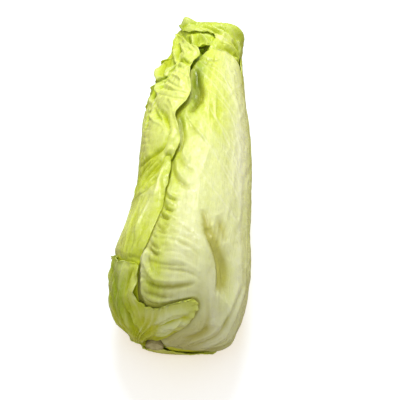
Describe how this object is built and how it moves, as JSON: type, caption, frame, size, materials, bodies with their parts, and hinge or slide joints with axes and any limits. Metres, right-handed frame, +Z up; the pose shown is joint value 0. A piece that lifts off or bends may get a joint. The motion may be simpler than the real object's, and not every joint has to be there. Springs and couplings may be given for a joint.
{
  "type": "sugarloaf chicory head",
  "caption": "Tall, tight head of leaf chicory with wrapped, ruffled leaves and a cut stem, lying on its side.",
  "frame": {"origin": "a point of the flat spot on the underside, which the head rests on", "axes": "+Y along the head from the cut stem to the crown, +Z up away from the surface it lies on, +X to its right"},
  "size_m": [0.1202, 0.3329, 0.1114],
  "materials": {
    "stem": "damp cut stem, matt",
    "heart": "waxy leaf, satin",
    "leaf_under": "waxy leaf, satin",
    "leaf_lower_left": "waxy leaf, satin",
    "leaf_left_low": "waxy leaf, satin",
    "leaf_left": "waxy leaf, satin",
    "leaf_right": "waxy leaf, satin",
    "leaf_right_back": "waxy leaf, satin",
    "leaf_hood": "waxy leaf, satin",
    "leaf_crown_left": "waxy leaf, satin",
    "leaf_back": "waxy leaf, satin",
    "leaf_front": "waxy leaf, satin"
  },
  "bodies": {
    "root": {"stem": "stem", "heart": "heart", "leaf_under": "leaf_under", "leaf_lower_left": "leaf_lower_left", "leaf_left_low": "leaf_left_low", "leaf_left": "leaf_left", "leaf_right": "leaf_right", "leaf_right_back": "leaf_right_back", "leaf_hood": "leaf_hood", "leaf_crown_left": "leaf_crown_left", "leaf_back": "leaf_back", "leaf_front": "leaf_front"}
  },
  "joints": []
}
